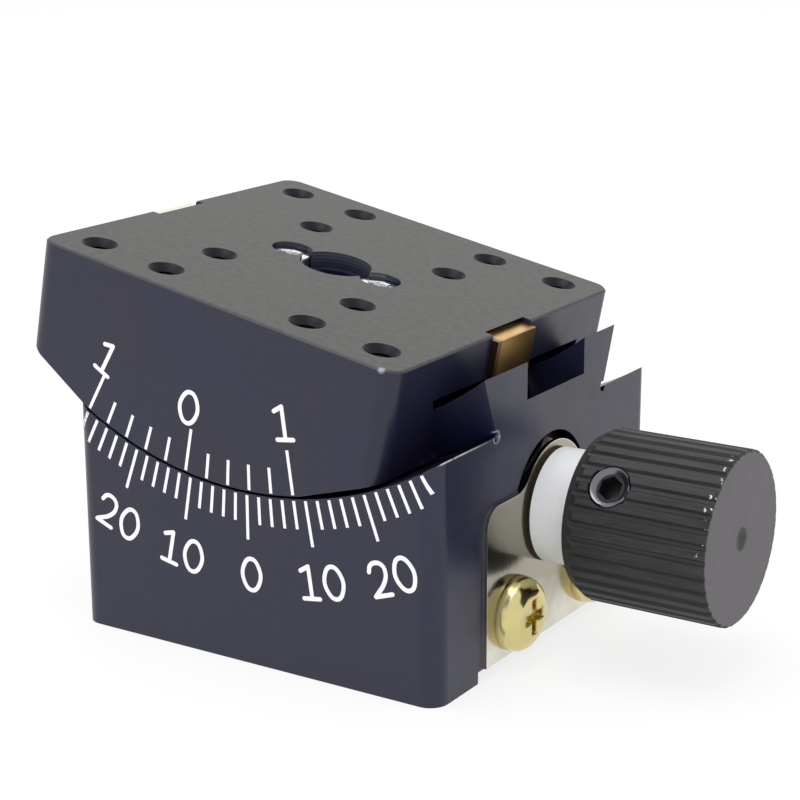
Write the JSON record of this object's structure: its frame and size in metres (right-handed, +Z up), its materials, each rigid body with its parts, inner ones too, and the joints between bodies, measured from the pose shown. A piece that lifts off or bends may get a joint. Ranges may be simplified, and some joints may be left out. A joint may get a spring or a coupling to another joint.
{
  "type": "manual tilt stage",
  "caption": "Square dovetail goniometer stage whose table rocks on an arc about an axis above it, turned by a knurled knob through a worm.",
  "frame": {"origin": "centre of the square of mounting holes in the underside of the base, on its foot plane", "axes": "+Z up out of the foot plane, +X towards the knob along the worm, +Y from the scale face to the back"},
  "size_m": [0.0645, 0.04, 0.0371],
  "materials": {
    "black_anodised": "satin black anodised",
    "black_anodised_table": "satin black anodised",
    "black_anodised_knob": "satin black anodised, knurled",
    "nickel_plate": "dull nickel plated sheet",
    "yellow_zinc": "yellow passivated zinc",
    "hard_steel": "ground",
    "bronze": "sintered",
    "washer_steel": "ground",
    "spring_steel": "blued",
    "sector_brass": "machined",
    "stainless": "bright",
    "gib_steel": "ground",
    "black_oxide": "black oxide",
    "black_oxide_grub": "black oxide",
    "worm_steel": "cut thread",
    "shaft_steel": "ground",
    "white_acetal": "turned acetal"
  },
  "bodies": {
    "base": {"base_block": "black_anodised", "bearing_plate": "nickel_plate", "bearing_plate_screws": "yellow_zinc", "base_stop_pins": "hard_steel", "rear_bush": "bronze", "rear_thrust_washer": "washer_steel", "front_thrust_washer": "washer_steel", "front_bush": "bronze", "wave_washer": "spring_steel"},
    "stage": {"stage_table": "black_anodised_table", "table_stop_pin": "hard_steel", "worm_sector": "sector_brass", "sector_screws": "stainless", "gib_strip": "gib_steel", "gib_screws": "black_oxide"},
    "worm_drive": {"worm": "worm_steel", "worm_shaft": "shaft_steel", "worm_pin": "shaft_steel", "spacer_washer": "white_acetal", "knob": "black_anodised_knob", "knob_grub_screw": "black_oxide_grub"}
  },
  "joints": [
    {"name": "worm_spin", "type": "hinge", "parent": "base", "child": "worm_drive", "pos_m": [0, 0, 0.0134], "axis": [1, 0, 0], "range_deg": [-2790, 810]},
    {"name": "stage_tilt", "type": "hinge", "parent": "base", "child": "stage", "pos_m": [0, 0, 0.053], "axis": [0, 1, 0], "range_deg": [-31, 9]}
  ],
  "couplings": [
    {"joint": "stage_tilt", "follows": "worm_spin", "ratio": 0.011111}
  ]
}
